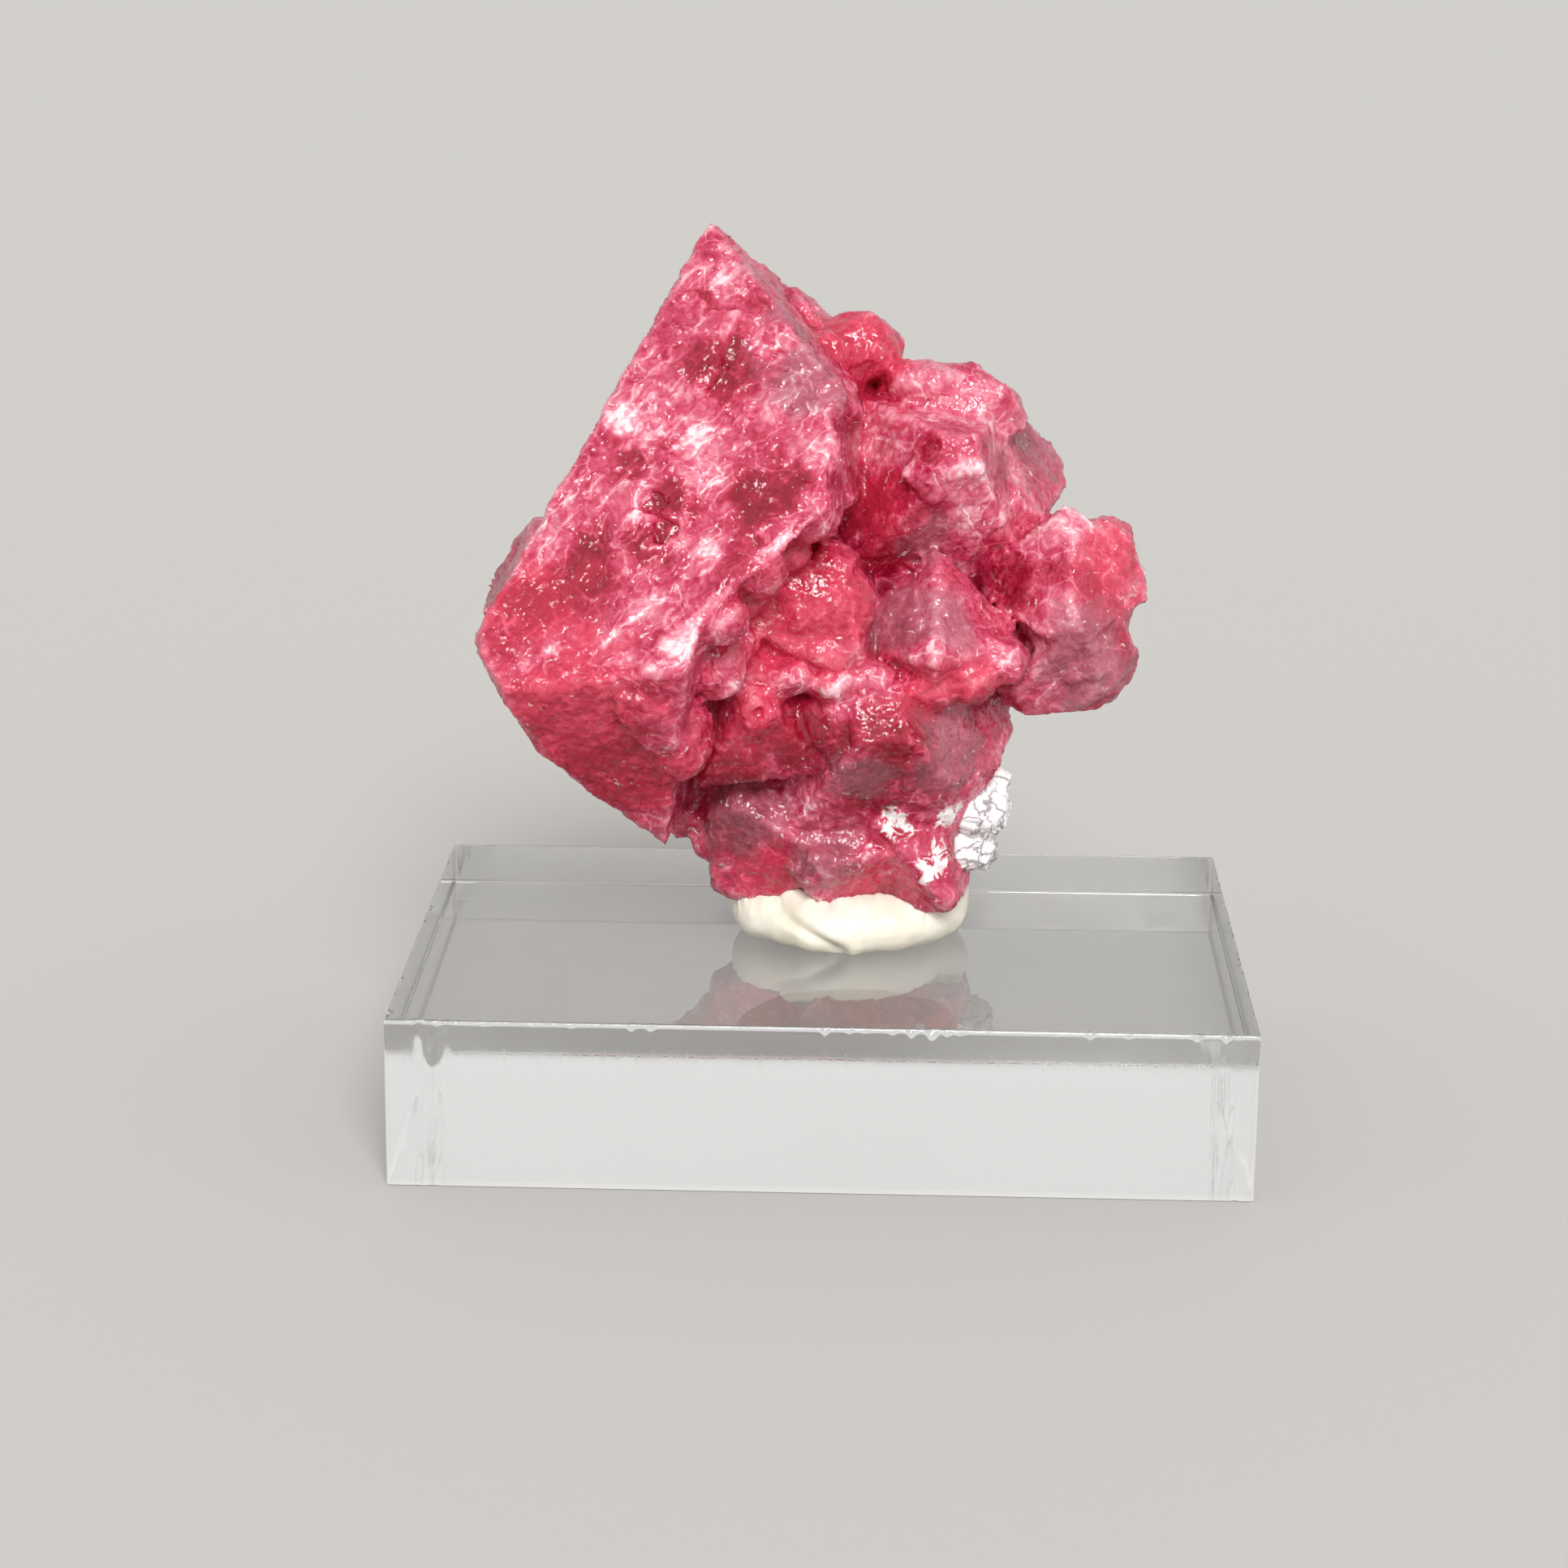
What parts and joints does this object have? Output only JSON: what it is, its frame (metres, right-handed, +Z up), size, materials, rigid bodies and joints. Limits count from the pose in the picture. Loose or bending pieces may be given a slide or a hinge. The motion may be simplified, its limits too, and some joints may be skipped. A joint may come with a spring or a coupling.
{
  "type": "spinel crystal specimen",
  "caption": "Pink spinel specimen: octahedral crystals grown together, held by a pad of white mineral tack on a small clear rectangular block, for display on a shelf.",
  "frame": {"origin": "centre of the block's underside, which the specimen rests on", "axes": "+Z up; the specimen's show face looks along -Y; +X is to the right of that face, along the block's long side"},
  "size_m": [0.0446, 0.0318, 0.0474],
  "materials": {
    "clear_acrylic": "clear cast acrylic, polished top and underside, finely sawn sides",
    "white_tack": "soft off-white putty, smooth, slightly waxy",
    "pink_spinel": "crimson to rose pink, glassy lustre, cloudy with healed cracks and frosted patches",
    "white_calcite": "white, glistening, crumpled crystalline surface"
  },
  "bodies": {
    "root": {"acrylic_block": "clear_acrylic", "mineral_tack": "white_tack", "spinel_crystals": "pink_spinel", "calcite_remnant": "white_calcite"}
  },
  "joints": []
}
